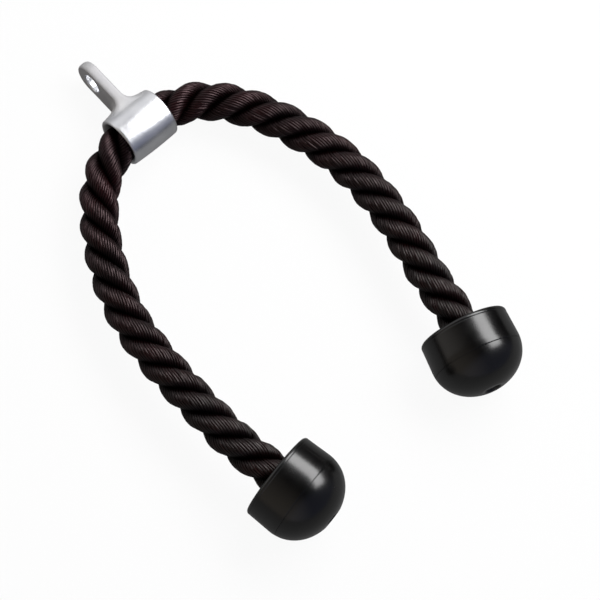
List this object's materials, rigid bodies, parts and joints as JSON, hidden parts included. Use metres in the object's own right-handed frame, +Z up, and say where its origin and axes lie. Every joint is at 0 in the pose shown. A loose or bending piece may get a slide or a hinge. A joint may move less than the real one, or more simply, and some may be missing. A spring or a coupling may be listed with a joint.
{
  "type": "triceps rope attachment",
  "caption": "Thick laid rope through a cast metal collar with a flat eye, ending in domed caps; hangs on a cable machine for triceps and pulling exercises.",
  "frame": {"origin": "centre of the footprint of the collar and caps, on the surface that the attachment lies on", "axes": "+Z up, +Y from the caps towards the eye, X along the collar's barrel"},
  "size_m": [0.2436, 0.3798, 0.0672],
  "materials": {
    "cast_aluminium": "satin polished casting",
    "rope": "black three-strand synthetic rope",
    "cap_rubber": "smooth semi-gloss moulding",
    "steel": "plain zinc-plated"
  },
  "bodies": {
    "collar": {"eye_collar": "cast_aluminium"},
    "rope_middle": {"rope_in_collar": "rope"},
    "left_upper_leg": {"rope_left_upper": "rope"},
    "left_lower_leg": {"rope_left_lower": "rope", "rope_end_left": "rope", "washer_left": "steel", "ferrule_left": "steel"},
    "left_cap": {"cap_base_left": "cap_rubber", "cap_dome_left": "cap_rubber"},
    "right_upper_leg": {"rope_right_upper": "rope"},
    "right_lower_leg": {"rope_right_lower": "rope", "rope_end_right": "rope", "washer_right": "steel", "ferrule_right": "steel"},
    "right_cap": {"cap_base_right": "cap_rubber", "cap_dome_right": "cap_rubber"}
  },
  "joints": [
    {"name": "rope_turn", "type": "hinge", "parent": "collar", "child": "rope_middle", "pos_m": [0.0175, 0.1257, 0.0197], "axis": [1, 0, 0], "continuous": true},
    {"name": "left_leg_swing", "type": "hinge", "parent": "rope_middle", "child": "left_upper_leg", "pos_m": [-0.04475, 0.09896, 0.02077], "axis": [0, 0, -1], "range_deg": [-5, 35], "deforming": ["rope_left_upper"]},
    {"name": "left_leg_bend", "type": "hinge", "parent": "left_upper_leg", "child": "left_lower_leg", "pos_m": [-0.09229, -0.02756, 0.02949], "axis": [0, 0, -1], "range_deg": [-5, 20], "deforming": ["rope_left_lower"]},
    {"name": "left_cap_turn", "type": "hinge", "parent": "left_lower_leg", "child": "left_cap", "pos_m": [-0.08619, -0.13304, 0.0336], "axis": [0.1668, -0.986, 0], "continuous": true},
    {"name": "right_leg_swing", "type": "hinge", "parent": "rope_middle", "child": "right_upper_leg", "pos_m": [0.0794, 0.09802, 0.02077], "axis": [0, 0, 1], "range_deg": [-5, 35], "deforming": ["rope_right_upper"]},
    {"name": "right_leg_bend", "type": "hinge", "parent": "right_upper_leg", "child": "right_lower_leg", "pos_m": [0.10901, -0.03489, 0.02949], "axis": [0, 0, 1], "range_deg": [-5, 20], "deforming": ["rope_right_lower"]},
    {"name": "right_cap_turn", "type": "hinge", "parent": "right_lower_leg", "child": "right_cap", "pos_m": [0.0874, -0.13964, 0.0336], "axis": [-0.299, -0.9542, 0], "continuous": true}
  ]
}
